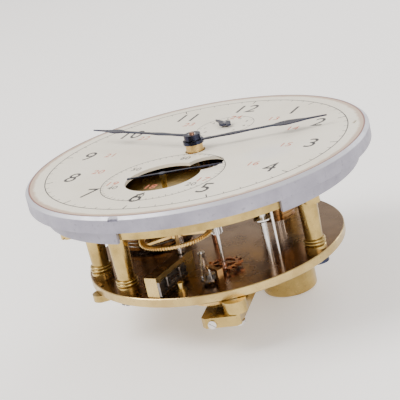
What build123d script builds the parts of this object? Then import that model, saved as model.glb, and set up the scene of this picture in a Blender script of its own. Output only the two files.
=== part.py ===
"""Chronometer clock movement: dial and ring, two plates on pillars, fusee and barrel, going train,
hand work, spring detent escapement and balance. Each block makes one part. Millimetres, dial up."""

import os
from math import asin, atan2, cos, degrees, hypot, radians, sin

from build123d import *

os.makedirs("parts", exist_ok=True)

# Driving sizes
RING_RADIUS = 55.0
DIAL_RADIUS = 53.8
DIAL_THICKNESS = 1.0
FRONT_PLATE_RADIUS = 49.2
FRONT_PLATE_THICKNESS = 5.6
BACK_PLATE_RADIUS = 41.6
BACK_PLATE_THICKNESS = 2.9
PILLAR_HEIGHT = 22.6
RUNNING_FIT = 0.04

# Levels, all measured down from the dial's face
DIAL_TOP = 52.0
DIAL_BOTTOM = DIAL_TOP - DIAL_THICKNESS
FRONT_TOP = DIAL_TOP - 3.7
FRONT_BOTTOM = FRONT_TOP - FRONT_PLATE_THICKNESS
BACK_TOP = FRONT_BOTTOM - PILLAR_HEIGHT
BACK_BOTTOM = BACK_TOP - BACK_PLATE_THICKNESS
SKIRT_BOTTOM = DIAL_TOP - 10.2
WALL_BOTTOM = DIAL_TOP - 4.9
LOW_WORK = FRONT_TOP + 0.3
HIGH_WORK = FRONT_TOP + 1.5
WORK_THICKNESS = 0.8
GREAT_LEVEL = FRONT_BOTTOM - 2.9
THIRD_LEVEL = FRONT_BOTTOM - 6.3
FOURTH_LEVEL = FRONT_BOTTOM - 10.1
CENTRE_LEVEL = BACK_TOP + 10.5
ESCAPE_LEVEL = BACK_TOP + 1.1
TRAIN_THICKNESS = 0.8
GREAT_THICKNESS = 1.4
BALANCE_LEVEL = BACK_BOTTOM - 1.9
BALANCE_THICKNESS = 1.4
BRIDGE_TOP = BACK_BOTTOM - 3.8
BRIDGE_THICKNESS = 3.2

# Axes in plan, with 12 o'clock along +Y
CENTRE_AXIS = (0.0, 0.0)
SECONDS_AXIS = (0.0, -22.8)
THIRD_AXIS = (-5.9, -11.3)
ESCAPE_AXIS = (12.6, -20.04)
FUSEE_AXIS = (18.4, 9.4)
BARREL_AXIS = (-24.5, 4.5)
BALANCE_AXIS = (12.5, -29.5)
MINUTE_WORK_AXIS = (-5.72, 3.3)
RESERVE_AXIS = (0.0, 22.8)
IDLER_AXIS = (12.03, 17.11)
STOP_AXIS = (26.1, -15.0)
STOP_ARBOR_AXIS = (29.6, -15.4)
PILLAR_AXES = {
    "pillar_front_left": (-14.4, -33.5),
    "pillar_rear_left": (-30.2, -22.3),
    "pillar_right": (37.1, -5.4),
    "pillar_back": (9.7, 36.2),
}

# Tooth counts
CENTRE_TEETH = 80
THIRD_TEETH = 75
FOURTH_TEETH = 80
TRAIN_LEAVES = 10
GREAT_TEETH = 96
CENTRE_LEAVES = 14
CANNON_LEAVES = 12
MINUTE_TEETH = 36
MINUTE_LEAVES = 10
HOUR_TEETH = 40
RESERVE_LEAVES = 10
IDLER_TEETH = 30
IDLER_LEAVES = 10
RESERVE_TEETH = 28
RATCHET_TEETH = 24


def bearing(start, end):
    """Direction in degrees from one axis to another."""
    return degrees(atan2(end[1] - start[1], end[0] - start[0]))


def distance(start, end):
    return hypot(end[0] - start[0], end[1] - start[1])


def module_of(start, end, teeth, leaves):
    """Tooth module that makes two gears meet between their axes."""
    return 2 * distance(start, end) / (teeth + leaves)


def polar(radius, angle):
    return (radius * cos(radians(angle)), radius * sin(radians(angle)))


def gear_points(teeth, module, phase):
    """Straight-sided teeth with play, one of them centred on the phase angle."""
    pitch = 360 / teeth
    root = module * (teeth / 2 - 1.2)
    tip = module * (teeth / 2 + 0.9)
    points = []
    for count in range(teeth):
        middle = phase + count * pitch
        points.append(polar(root, middle - 0.21 * pitch))
        points.append(polar(tip, middle - 0.09 * pitch))
        points.append(polar(tip, middle + 0.09 * pitch))
        points.append(polar(root, middle + 0.21 * pitch))
    return points


def crossed_gear(spot, teeth, module, phase, hub, spokes=5):
    """Sketch of a wheel crossed out to spokes, inside the caller's BuildSketch."""
    rim = module * (teeth / 2 - 1.2) - 1.1
    with Locations(spot):
        Polygon(*gear_points(teeth, module, phase), align=None)
        Circle(rim, mode=Mode.SUBTRACT)
        Circle(hub)
        with PolarLocations((rim + 0.4) / 2, spokes, start_angle=phase):
            Rectangle(rim + 0.4, 1.1)


def leaves(spot, count, module, phase):
    """Sketch of a pinion's leaves, inside the caller's BuildSketch."""
    with Locations(spot):
        Polygon(*gear_points(count, module, phase), align=None)


def leaf_phase(start, end, count):
    """Phase of a pinion whose gap faces the wheel's tooth."""
    return bearing(end, start) + 180 / count


def save(builder, name):
    """Labels a finished part and writes it out."""
    builder.part.label = name
    export_step(builder.part, "parts/" + name + ".step")


GREAT_MODULE = module_of(FUSEE_AXIS, CENTRE_AXIS, GREAT_TEETH, CENTRE_LEAVES)
CENTRE_MODULE = module_of(CENTRE_AXIS, THIRD_AXIS, CENTRE_TEETH, TRAIN_LEAVES)
THIRD_MODULE = module_of(THIRD_AXIS, SECONDS_AXIS, THIRD_TEETH, TRAIN_LEAVES)
FOURTH_MODULE = module_of(SECONDS_AXIS, ESCAPE_AXIS, FOURTH_TEETH, TRAIN_LEAVES)
MINUTE_MODULE = module_of(CENTRE_AXIS, MINUTE_WORK_AXIS, MINUTE_TEETH, CANNON_LEAVES)
HOUR_MODULE = module_of(CENTRE_AXIS, MINUTE_WORK_AXIS, HOUR_TEETH, MINUTE_LEAVES)
IDLER_MODULE = module_of(FUSEE_AXIS, IDLER_AXIS, IDLER_TEETH, RESERVE_LEAVES)
RESERVE_MODULE = module_of(IDLER_AXIS, RESERVE_AXIS, RESERVE_TEETH, IDLER_LEAVES)

# Shafts and the holes that carry them
ARBOR_RADIUS = 0.9
PIVOT_RADIUS = 0.4
CENTRE_STEM_RADIUS = 0.8
CANNON_PIPE_RADIUS = 1.25
HOUR_PIPE_RADIUS = 2.8
FUSEE_ARBOR_RADIUS = 2.0
BARREL_ARBOR_RADIUS = 2.0
STAFF_RADIUS = 0.5
STUD_RADIUS = 0.6
CENTRE_HOLE_RADIUS = 3.3

# ---------------------------------------------------------------- dial, ring and plates
SECONDS_OPENING_RADIUS = 11.8
LOBE_RADIUS = 6.0
LOBE_SPOT = (9.5, -12.6)
EDGE_SLOT_RADIUS = 50.6
EDGE_SLOT_ANGLES = (21, 140)

with BuildPart() as dial_plate:
    with BuildSketch(Plane.XY.offset(DIAL_BOTTOM)):
        Circle(DIAL_RADIUS)
        Circle(CENTRE_HOLE_RADIUS, mode=Mode.SUBTRACT)
        with Locations(RESERVE_AXIS):
            Circle(1.0, mode=Mode.SUBTRACT)
        with Locations(SECONDS_AXIS):
            Circle(SECONDS_OPENING_RADIUS, mode=Mode.SUBTRACT)
        with Locations(LOBE_SPOT):
            Circle(LOBE_RADIUS, mode=Mode.SUBTRACT)
        for angle in EDGE_SLOT_ANGLES:
            with Locations(Location((*polar(EDGE_SLOT_RADIUS, angle), 0), (0, 0, angle + 70))):
                SlotOverall(3.0, 0.8, mode=Mode.SUBTRACT)
    extrude(amount=DIAL_THICKNESS)
save(dial_plate, "dial_plate")

RING_BORE = FRONT_PLATE_RADIUS + 0.05
SKIRT_RADIUS = 50.4
SKIRT_GAP_START = -93.5
SKIRT_GAP_END = -36.0

with BuildPart() as dial_ring:
    with BuildSketch(Plane.XZ):
        with BuildLine():
            Polyline(
                (DIAL_RADIUS + 0.05, DIAL_TOP),
                (RING_RADIUS - 0.9, DIAL_TOP),
                (RING_RADIUS, DIAL_TOP - 0.84),
                (RING_RADIUS, WALL_BOTTOM),
                (SKIRT_RADIUS, WALL_BOTTOM),
                (SKIRT_RADIUS, SKIRT_BOTTOM),
                (RING_BORE, SKIRT_BOTTOM),
                (RING_BORE, DIAL_BOTTOM),
                (DIAL_RADIUS + 0.05, DIAL_BOTTOM),
                close=True,
            )
        make_face()
    revolve(axis=Axis.Z)
    with BuildSketch(Plane.XY.offset(SKIRT_BOTTOM)):
        with BuildLine():
            Line((0, 0), polar(60, SKIRT_GAP_START))
            CenterArc((0, 0), 60, SKIRT_GAP_START, SKIRT_GAP_END - SKIRT_GAP_START)
            Line(polar(60, SKIRT_GAP_END), (0, 0))
        make_face()
    extrude(amount=WALL_BOTTOM - SKIRT_BOTTOM, mode=Mode.SUBTRACT)
    with BuildSketch(Plane.XY.offset(DIAL_TOP - 1.3)):
        with Locations(polar(RING_RADIUS - 0.2, -90)):
            SlotOverall(3.4, 1.6)
    extrude(amount=2.0, mode=Mode.SUBTRACT)
save(dial_ring, "dial_ring")

RING_SCREW_RADIUS = 47.4
RING_SCREW_ANGLES = (-21, -126, 60, 165)
RING_SCREW_SHANK = 0.9

with BuildPart() as ring_screws:
    for angle in RING_SCREW_ANGLES:
        with BuildSketch(Plane.XY.offset(SKIRT_BOTTOM)):
            with Locations(polar(RING_SCREW_RADIUS, angle)):
                Circle(1.6)
        extrude(amount=FRONT_BOTTOM - SKIRT_BOTTOM)
        with BuildSketch(Plane.XY.offset(SKIRT_BOTTOM)):
            with Locations(polar(RING_SCREW_RADIUS, angle)):
                Circle(RING_SCREW_SHANK)
        extrude(amount=FRONT_BOTTOM - SKIRT_BOTTOM + 4.0)
        with BuildSketch(Plane.XY.offset(SKIRT_BOTTOM)):
            with Locations(polar(RING_SCREW_RADIUS, angle)):
                Circle(2.5)
        extrude(amount=-2.1)
        with BuildSketch(Plane.XY.offset(SKIRT_BOTTOM - 2.1)):
            with Locations(Location((*polar(RING_SCREW_RADIUS, angle), 0), (0, 0, angle + 30))):
                Rectangle(6.0, 0.6)
        extrude(amount=0.7, mode=Mode.SUBTRACT)
save(ring_screws, "ring_screws")

PILLAR_TENON = 1.8
FRONT_HOLES = (
    (CENTRE_AXIS, CENTRE_STEM_RADIUS + RUNNING_FIT),
    (SECONDS_AXIS, PIVOT_RADIUS + RUNNING_FIT),
    (THIRD_AXIS, PIVOT_RADIUS + RUNNING_FIT),
    (ESCAPE_AXIS, PIVOT_RADIUS + RUNNING_FIT),
    (FUSEE_AXIS, FUSEE_ARBOR_RADIUS / 2 + RUNNING_FIT),
    (BARREL_AXIS, BARREL_ARBOR_RADIUS / 2),
    (MINUTE_WORK_AXIS, STUD_RADIUS),
    (IDLER_AXIS, STUD_RADIUS),
    (RESERVE_AXIS, STUD_RADIUS + RUNNING_FIT),
    (STOP_AXIS, 0.8),
    (STOP_ARBOR_AXIS, PIVOT_RADIUS),
)

with BuildPart() as front_plate:
    with BuildSketch(Plane.XY.offset(FRONT_BOTTOM)):
        Circle(FRONT_PLATE_RADIUS)
        for spot, hole_radius in FRONT_HOLES:
            with Locations(spot):
                Circle(hole_radius, mode=Mode.SUBTRACT)
        for spot in PILLAR_AXES.values():
            with Locations(spot):
                Circle(PILLAR_TENON, mode=Mode.SUBTRACT)
        for angle in RING_SCREW_ANGLES:
            with Locations(polar(RING_SCREW_RADIUS, angle)):
                Circle(RING_SCREW_SHANK, mode=Mode.SUBTRACT)
        with Locations((10.4, -9.6)):
            Circle(5.0, mode=Mode.SUBTRACT)
    extrude(amount=FRONT_PLATE_THICKNESS)
    chamfer(front_plate.edges().filter_by(GeomType.CIRCLE).sort_by(SortBy.RADIUS)[-1], 0.3)
save(front_plate, "front_plate")

PILLAR_SCREW_SHANK = 1.2
BACK_HOLES = (
    (CENTRE_AXIS, PIVOT_RADIUS + RUNNING_FIT),
    (SECONDS_AXIS, PIVOT_RADIUS + RUNNING_FIT),
    (THIRD_AXIS, PIVOT_RADIUS + RUNNING_FIT),
    (ESCAPE_AXIS, PIVOT_RADIUS + RUNNING_FIT),
    (FUSEE_AXIS, FUSEE_ARBOR_RADIUS + RUNNING_FIT),
    (BARREL_AXIS, BARREL_ARBOR_RADIUS),
    (BALANCE_AXIS, 1.5),
)

with BuildPart() as back_plate:
    with BuildSketch(Plane.XY.offset(BACK_BOTTOM)):
        Circle(BACK_PLATE_RADIUS)
        for spot, hole_radius in BACK_HOLES:
            with Locations(spot):
                Circle(hole_radius, mode=Mode.SUBTRACT)
        for spot in PILLAR_AXES.values():
            with Locations(spot):
                Circle(PILLAR_SCREW_SHANK + 0.1, mode=Mode.SUBTRACT)
        with Locations((-24.9, -32.0)):
            Circle(0.5, mode=Mode.SUBTRACT)
    extrude(amount=BACK_PLATE_THICKNESS)
    chamfer(back_plate.edges().filter_by(GeomType.CIRCLE).sort_by(SortBy.RADIUS)[-2:], 0.25)
save(back_plate, "back_plate")

# ---------------------------------------------------------------- pillars and their screws
PILLAR_SHAFT_TOP = 3.3
PILLAR_SHAFT_BASE = 2.8


def make_pillar(name, spot):
    """Turned pillar with two beads near its foot, riveted above and tapped below."""
    with BuildPart(Plane.XY.offset(BACK_TOP)) as pillar:
        with BuildSketch(Plane.XZ.offset(-spot[1]) * Pos(spot[0], BACK_TOP)):
            with BuildLine():
                Line((0, 0), (3.4, 0))
                Line((3.4, 0), (3.4, 1.1))
                Line((3.4, 1.1), (2.8, 1.5))
                ThreePointArc((2.8, 1.5), (3.5, 2.0), (2.8, 2.5))
                ThreePointArc((2.8, 2.5), (3.5, 3.0), (2.8, 3.5))
                Line((2.8, 3.5), (PILLAR_SHAFT_BASE, 4.2))
                Line((PILLAR_SHAFT_BASE, 4.2), (PILLAR_SHAFT_TOP, PILLAR_HEIGHT))
                Line((PILLAR_SHAFT_TOP, PILLAR_HEIGHT), (PILLAR_TENON, PILLAR_HEIGHT))
                Line((PILLAR_TENON, PILLAR_HEIGHT), (PILLAR_TENON, PILLAR_HEIGHT + 5.0))
                Line((PILLAR_TENON, PILLAR_HEIGHT + 5.0), (0, PILLAR_HEIGHT + 5.0))
                Line((0, PILLAR_HEIGHT + 5.0), (0, 0))
            make_face()
        revolve(axis=Axis((*spot, 0), (0, 0, 1)))
        with BuildSketch(Plane.XY.offset(BACK_TOP)):
            with Locations(spot):
                Circle(PILLAR_SCREW_SHANK)
        extrude(amount=5.0, mode=Mode.SUBTRACT)
    save(pillar, name)


for pillar_name, pillar_spot in PILLAR_AXES.items():
    make_pillar(pillar_name, pillar_spot)

PILLAR_SCREW_HEAD = 3.4
PILLAR_SCREW_HEIGHT = 1.5

with BuildPart() as pillar_screws:
    for spot in PILLAR_AXES.values():
        with BuildSketch(Plane.XY.offset(BACK_BOTTOM)):
            with Locations(spot):
                Circle(PILLAR_SCREW_HEAD)
        extrude(amount=-PILLAR_SCREW_HEIGHT)
        with BuildSketch(Plane.XY.offset(BACK_BOTTOM)):
            with Locations(spot):
                Circle(PILLAR_SCREW_SHANK)
        extrude(amount=BACK_PLATE_THICKNESS + 4.0)
        with BuildSketch(Plane.XY.offset(BACK_BOTTOM - PILLAR_SCREW_HEIGHT)):
            with Locations(Location((*spot, 0), (0, 0, spot[0] * 7))):
                Rectangle(2.2 * PILLAR_SCREW_HEAD, 0.7)
        extrude(amount=0.7, mode=Mode.SUBTRACT)
save(pillar_screws, "pillar_screws")

# ---------------------------------------------------------------- block and detent on the back plate
BLOCK_TURN = -4.8
BLOCK_FRAME = Plane(origin=(-1.75, -40.7, BACK_TOP), z_dir=(0, 0, 1)).rotated((0, 0, BLOCK_TURN))
BLOCK_WIDTH = 4.2
BLOCK_LENGTH = 21.5
BLOCK_HEIGHT = 6.4

with BuildPart() as detent_block:
    with BuildSketch(BLOCK_FRAME):
        with Locations((0, BLOCK_LENGTH / 2)):
            Rectangle(BLOCK_WIDTH, BLOCK_LENGTH)
    extrude(amount=BLOCK_HEIGHT)
    chamfer(detent_block.edges().filter_by(Axis.Z), 0.15)
    with BuildSketch(Plane.XY.offset(BACK_TOP)):
        with Locations(SECONDS_AXIS):
            Circle(1.3)
    extrude(amount=BLOCK_HEIGHT, mode=Mode.SUBTRACT)
save(detent_block, "detent_block")

SPRING_SEAT = BLOCK_WIDTH / 2

with BuildPart() as side_spring:
    with BuildSketch(BLOCK_FRAME.offset(0.3)):
        with Locations((SPRING_SEAT + 0.45, 1.4)):
            Rectangle(0.9, 2.4)
        with Locations((SPRING_SEAT + 0.2, 8.2)):
            Rectangle(0.4, 15.0)
    extrude(amount=4.6)
    with BuildSketch(BLOCK_FRAME.offset(1.2)):
        with Locations((SPRING_SEAT + 0.65, 9.0)):
            Rectangle(1.3, 12.0)
    extrude(amount=0.8)
    with BuildSketch(BLOCK_FRAME.offset(3.0)):
        with Locations((SPRING_SEAT + 0.55, 8.4)):
            Rectangle(1.1, 5.4)
        with Locations((SPRING_SEAT + 0.5, 14.0)):
            Rectangle(1.0, 2.6)
    extrude(amount=0.9)
save(side_spring, "side_spring")

with BuildPart() as spring_screws:
    for reach in (4.4, 11.6):
        with BuildSketch(BLOCK_FRAME.offset(2.0)):
            with Locations((SPRING_SEAT + 0.95, reach)):
                Circle(0.3)
        extrude(amount=2.4)
        with BuildSketch(BLOCK_FRAME.offset(4.4)):
            with Locations((SPRING_SEAT + 0.95, reach)):
                Circle(0.5)
        extrude(amount=0.7)
        with BuildSketch(BLOCK_FRAME.offset(4.85)):
            with Locations((SPRING_SEAT + 0.95, reach)):
                Rectangle(1.2, 0.2)
        extrude(amount=0.3, mode=Mode.SUBTRACT)
save(spring_screws, "spring_screws")

PLATE_STUD_AXIS = (5.8, -36.4)

with BuildPart() as plate_stud:
    with BuildSketch(Plane.XY.offset(BACK_TOP)):
        with Locations(PLATE_STUD_AXIS):
            Circle(1.6)
    extrude(amount=0.7)
    with BuildSketch(Plane.XY.offset(BACK_TOP)):
        with Locations(PLATE_STUD_AXIS):
            Circle(1.0)
    extrude(amount=3.2)
    fillet(plate_stud.faces().sort_by(Axis.Z)[-1].edges(), 0.3)
save(plate_stud, "plate_stud")

# ---------------------------------------------------------------- steel post and arbor on the right
with BuildPart() as stop_post:
    with BuildSketch(Plane.XY.offset(BACK_TOP)):
        with Locations(STOP_AXIS):
            Circle(1.05)
    extrude(amount=FRONT_BOTTOM - BACK_TOP)
    with BuildSketch(Plane.XY.offset(FRONT_BOTTOM)):
        with Locations(STOP_AXIS):
            Circle(0.8)
    extrude(amount=3.0)
    with BuildSketch(Plane.XY.offset(DIAL_TOP - 18.9)):
        with Locations(STOP_AXIS):
            Circle(1.3)
    extrude(amount=0.9, taper=-56)
    with BuildSketch(Plane.XY.offset(DIAL_TOP - 18.0)):
        with Locations(STOP_AXIS):
            Circle(2.74)
    extrude(amount=0.4)
save(stop_post, "stop_post")

with BuildPart() as stop_arbor:
    with BuildSketch(Plane.XY.offset(BACK_TOP)):
        with Locations(STOP_ARBOR_AXIS):
            Circle(0.42)
    extrude(amount=FRONT_BOTTOM - BACK_TOP)
    with BuildSketch(Plane.XY.offset(FRONT_BOTTOM)):
        with Locations(STOP_ARBOR_AXIS):
            Circle(PIVOT_RADIUS)
    extrude(amount=2.5)
save(stop_arbor, "stop_arbor")

# ---------------------------------------------------------------- going train
PLAY = 0.15
ARBOR_TOP = FRONT_BOTTOM - PLAY
ARBOR_BASE = BACK_TOP + PLAY
ARBOR_LENGTH = ARBOR_TOP - ARBOR_BASE
PIVOT_LENGTH = 2.2
PINION_LENGTH = 2.2

with BuildPart() as centre_arbor:
    with BuildSketch(Plane.XY.offset(ARBOR_BASE)):
        Circle(ARBOR_RADIUS)
    extrude(amount=ARBOR_LENGTH)
    with BuildSketch(Plane.XY.offset(ARBOR_BASE - PIVOT_LENGTH)):
        Circle(PIVOT_RADIUS)
    extrude(amount=PIVOT_LENGTH)
    with BuildSketch(Plane.XY.offset(ARBOR_TOP)):
        Circle(CENTRE_STEM_RADIUS)
    extrude(amount=DIAL_TOP + 6.0 - ARBOR_TOP)
    with BuildSketch(Plane.XY.offset(GREAT_LEVEL - 0.4)):
        leaves(CENTRE_AXIS, CENTRE_LEAVES, GREAT_MODULE, leaf_phase(FUSEE_AXIS, CENTRE_AXIS, CENTRE_LEAVES))
    extrude(amount=PINION_LENGTH)
save(centre_arbor, "centre_arbor")

with BuildPart() as centre_wheel:
    with BuildSketch(Plane.XY.offset(CENTRE_LEVEL)):
        crossed_gear(CENTRE_AXIS, CENTRE_TEETH, CENTRE_MODULE, bearing(CENTRE_AXIS, THIRD_AXIS), 2.6)
        Circle(ARBOR_RADIUS, mode=Mode.SUBTRACT)
    extrude(amount=TRAIN_THICKNESS)
save(centre_wheel, "centre_wheel")

with BuildPart() as third_arbor:
    with BuildSketch(Plane.XY.offset(ARBOR_BASE)):
        with Locations(THIRD_AXIS):
            Circle(0.8)
    extrude(amount=ARBOR_LENGTH)
    with BuildSketch(Plane.XY.offset(ARBOR_BASE - PIVOT_LENGTH)):
        with Locations(THIRD_AXIS):
            Circle(PIVOT_RADIUS)
    extrude(amount=ARBOR_LENGTH + 2 * PIVOT_LENGTH)
    with BuildSketch(Plane.XY.offset(CENTRE_LEVEL - 0.7)):
        leaves(THIRD_AXIS, TRAIN_LEAVES, CENTRE_MODULE, leaf_phase(CENTRE_AXIS, THIRD_AXIS, TRAIN_LEAVES))
    extrude(amount=PINION_LENGTH)
save(third_arbor, "third_arbor")

with BuildPart() as third_wheel:
    with BuildSketch(Plane.XY.offset(THIRD_LEVEL)):
        crossed_gear(THIRD_AXIS, THIRD_TEETH, THIRD_MODULE, bearing(THIRD_AXIS, SECONDS_AXIS), 2.4)
        with Locations(THIRD_AXIS):
            Circle(0.8, mode=Mode.SUBTRACT)
    extrude(amount=TRAIN_THICKNESS)
save(third_wheel, "third_wheel")

SECONDS_STEM_TOP = DIAL_TOP + 0.9

with BuildPart() as seconds_arbor:
    with BuildSketch(Plane.XY.offset(ARBOR_BASE)):
        with Locations(SECONDS_AXIS):
            Circle(0.7)
    extrude(amount=ARBOR_LENGTH)
    with BuildSketch(Plane.XY.offset(ARBOR_BASE - PIVOT_LENGTH)):
        with Locations(SECONDS_AXIS):
            Circle(PIVOT_RADIUS)
    extrude(amount=SECONDS_STEM_TOP - ARBOR_BASE + PIVOT_LENGTH)
    with BuildSketch(Plane.XY.offset(THIRD_LEVEL - 0.7)):
        leaves(SECONDS_AXIS, TRAIN_LEAVES, THIRD_MODULE, leaf_phase(THIRD_AXIS, SECONDS_AXIS, TRAIN_LEAVES))
    extrude(amount=PINION_LENGTH)
save(seconds_arbor, "seconds_arbor")

with BuildPart() as fourth_wheel:
    with BuildSketch(Plane.XY.offset(FOURTH_LEVEL)):
        crossed_gear(SECONDS_AXIS, FOURTH_TEETH, FOURTH_MODULE, bearing(SECONDS_AXIS, ESCAPE_AXIS), 2.2)
        with Locations(SECONDS_AXIS):
            Circle(0.7, mode=Mode.SUBTRACT)
    extrude(amount=TRAIN_THICKNESS)
save(fourth_wheel, "fourth_wheel")

with BuildPart() as seconds_pipe:
    with BuildSketch(Plane.XY.offset(FRONT_TOP + PLAY)):
        with Locations(SECONDS_AXIS):
            Circle(0.85)
    extrude(amount=DIAL_TOP + 0.9 - FRONT_TOP - PLAY)
    with BuildSketch(Plane.XY.offset(DIAL_TOP + 0.1)):
        with Locations(SECONDS_AXIS):
            Circle(1.3)
    extrude(amount=0.8)
    with BuildSketch(Plane.XY.offset(FRONT_TOP)):
        with Locations(SECONDS_AXIS):
            Circle(PIVOT_RADIUS)
    extrude(amount=10, mode=Mode.SUBTRACT)
save(seconds_pipe, "seconds_pipe")

with BuildPart() as escape_arbor:
    with BuildSketch(Plane.XY.offset(ARBOR_BASE)):
        with Locations(ESCAPE_AXIS):
            Circle(0.6)
    extrude(amount=ARBOR_LENGTH)
    with BuildSketch(Plane.XY.offset(ARBOR_BASE - PIVOT_LENGTH)):
        with Locations(ESCAPE_AXIS):
            Circle(PIVOT_RADIUS)
    extrude(amount=ARBOR_LENGTH + 2 * PIVOT_LENGTH)
    with BuildSketch(Plane.XY.offset(FOURTH_LEVEL - 0.7)):
        leaves(ESCAPE_AXIS, TRAIN_LEAVES, FOURTH_MODULE, leaf_phase(SECONDS_AXIS, ESCAPE_AXIS, TRAIN_LEAVES))
    extrude(amount=PINION_LENGTH)
save(escape_arbor, "escape_arbor")

ESCAPE_RADIUS = 5.9
ESCAPE_TEETH = 15


def escape_points():
    """Pointed teeth that lean forward, as a detent needs."""
    points = []
    for count in range(ESCAPE_TEETH):
        middle = count * 360 / ESCAPE_TEETH
        points.append(polar(4.5, middle - 9))
        points.append(polar(ESCAPE_RADIUS, middle))
        points.append(polar(ESCAPE_RADIUS - 0.05, middle + 1.5))
        points.append(polar(4.5, middle + 3))
    return points


with BuildPart() as escape_wheel:
    with BuildSketch(Plane.XY.offset(ESCAPE_LEVEL)):
        with Locations(ESCAPE_AXIS):
            Polygon(*escape_points(), align=None)
            Circle(3.7, mode=Mode.SUBTRACT)
            Circle(1.5)
            with PolarLocations(2.0, 4, start_angle=20):
                Rectangle(4.0, 0.8)
            Circle(0.6, mode=Mode.SUBTRACT)
    extrude(amount=0.7)
save(escape_wheel, "escape_wheel")

# ---------------------------------------------------------------- fusee
with BuildPart() as great_wheel:
    with BuildSketch(Plane.XY.offset(GREAT_LEVEL)):
        crossed_gear(FUSEE_AXIS, GREAT_TEETH, GREAT_MODULE, bearing(FUSEE_AXIS, CENTRE_AXIS), 6.5, 6)
        with Locations(FUSEE_AXIS):
            Circle(FUSEE_ARBOR_RADIUS + RUNNING_FIT, mode=Mode.SUBTRACT)
    extrude(amount=GREAT_THICKNESS)
save(great_wheel, "great_wheel")

CONE_TOP = GREAT_LEVEL - 0.3
CONE_GROOVES = 9
CONE_PITCH = 1.5
CONE_LARGE = 11.6
CONE_SMALL = 6.2
CONE_HEIGHT = CONE_GROOVES * CONE_PITCH + 1.0


def cone_radius(drop):
    """The fusee's hollow curve: quick to narrow, then slow."""
    share = drop / CONE_HEIGHT
    return CONE_SMALL + (CONE_LARGE - CONE_SMALL) * (1 - share) ** 1.6


with BuildPart() as fusee_cone:
    with BuildSketch(Plane.XZ.offset(-FUSEE_AXIS[1]) * Pos(FUSEE_AXIS[0], CONE_TOP)):
        with BuildLine():
            Line((FUSEE_ARBOR_RADIUS, 0), (CONE_LARGE + 0.6, 0))
            Line((CONE_LARGE + 0.6, 0), (CONE_LARGE + 0.6, -0.6))
            drop = 0.6
            start = (CONE_LARGE + 0.6, -drop)
            for groove in range(CONE_GROOVES):
                floor = cone_radius(drop) - 0.5
                land = cone_radius(drop + CONE_PITCH)
                Polyline(start, (floor, -drop - 0.15), (floor, -drop - 1.15), (land, -drop - 1.2),
                         (land, -drop - CONE_PITCH))
                start = (land, -drop - CONE_PITCH)
                drop = drop + CONE_PITCH
            Polyline(start, (FUSEE_ARBOR_RADIUS, start[1]), (FUSEE_ARBOR_RADIUS, 0))
        make_face()
    revolve(axis=Axis((*FUSEE_AXIS, 0), (0, 0, 1)))
save(fusee_cone, "fusee_cone")

SQUARE_SIZE = 2.6
SLEEVE_RADIUS = 8.8
SQUARE_END = 1.2

with BuildPart() as fusee_arbor:
    with BuildSketch(Plane.XY.offset(SQUARE_END + 6.0)):
        with Locations(FUSEE_AXIS):
            Circle(FUSEE_ARBOR_RADIUS)
    extrude(amount=ARBOR_TOP - SQUARE_END - 6.0)
    with BuildSketch(Plane.XY.offset(ARBOR_TOP)):
        with Locations(FUSEE_AXIS):
            Circle(FUSEE_ARBOR_RADIUS / 2)
    extrude(amount=LOW_WORK + WORK_THICKNESS - ARBOR_TOP)
    with BuildSketch(Plane.XY.offset(SQUARE_END)):
        with Locations(FUSEE_AXIS):
            Rectangle(SQUARE_SIZE, SQUARE_SIZE)
    extrude(amount=6.0)
save(fusee_arbor, "fusee_arbor")

with BuildPart() as reserve_driver:
    with BuildSketch(Plane.XY.offset(LOW_WORK)):
        leaves(FUSEE_AXIS, RESERVE_LEAVES, IDLER_MODULE, leaf_phase(IDLER_AXIS, FUSEE_AXIS, RESERVE_LEAVES))
        with Locations(FUSEE_AXIS):
            Circle(FUSEE_ARBOR_RADIUS / 2, mode=Mode.SUBTRACT)
    extrude(amount=WORK_THICKNESS)
save(reserve_driver, "reserve_driver")

with BuildPart() as winding_sleeve:
    with BuildSketch():
        with Locations(FUSEE_AXIS):
            Circle(SLEEVE_RADIUS)
    extrude(amount=BACK_BOTTOM)
    with BuildSketch():
        with Locations(FUSEE_AXIS):
            Circle(3.4)
    extrude(amount=BACK_BOTTOM, mode=Mode.SUBTRACT)
    sleeve_rims = winding_sleeve.edges().filter_by(GeomType.CIRCLE).group_by(Axis.Z)[0]
    fillet(sleeve_rims.sort_by(SortBy.RADIUS)[-1], 1.2)
save(winding_sleeve, "winding_sleeve")

# ---------------------------------------------------------------- barrel
DRUM_RADIUS = 12.0
DRUM_TOP = FRONT_BOTTOM - 1.2
DRUM_BASE = BACK_TOP + 1.2
DRUM_HEIGHT = DRUM_TOP - DRUM_BASE
COVER_THICKNESS = 1.2
DRUM_BORE = BARREL_ARBOR_RADIUS + RUNNING_FIT

with BuildPart() as barrel_drum:
    with BuildSketch(Plane.XY.offset(DRUM_BASE)):
        with Locations(BARREL_AXIS):
            Circle(DRUM_RADIUS)
    extrude(amount=DRUM_HEIGHT)
    with BuildSketch(Plane.XY.offset(DRUM_BASE + 1.4)):
        with Locations(BARREL_AXIS):
            Circle(DRUM_RADIUS - 1.6)
    extrude(amount=DRUM_HEIGHT, mode=Mode.SUBTRACT)
    with BuildSketch(Plane.XY.offset(DRUM_TOP - COVER_THICKNESS)):
        with Locations(BARREL_AXIS):
            Circle(DRUM_RADIUS - 0.8)
    extrude(amount=DRUM_HEIGHT, mode=Mode.SUBTRACT)
    with BuildSketch(Plane.XY.offset(DRUM_BASE)):
        with Locations(BARREL_AXIS):
            Circle(DRUM_BORE)
    extrude(amount=DRUM_HEIGHT, mode=Mode.SUBTRACT)
save(barrel_drum, "barrel_drum")

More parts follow.
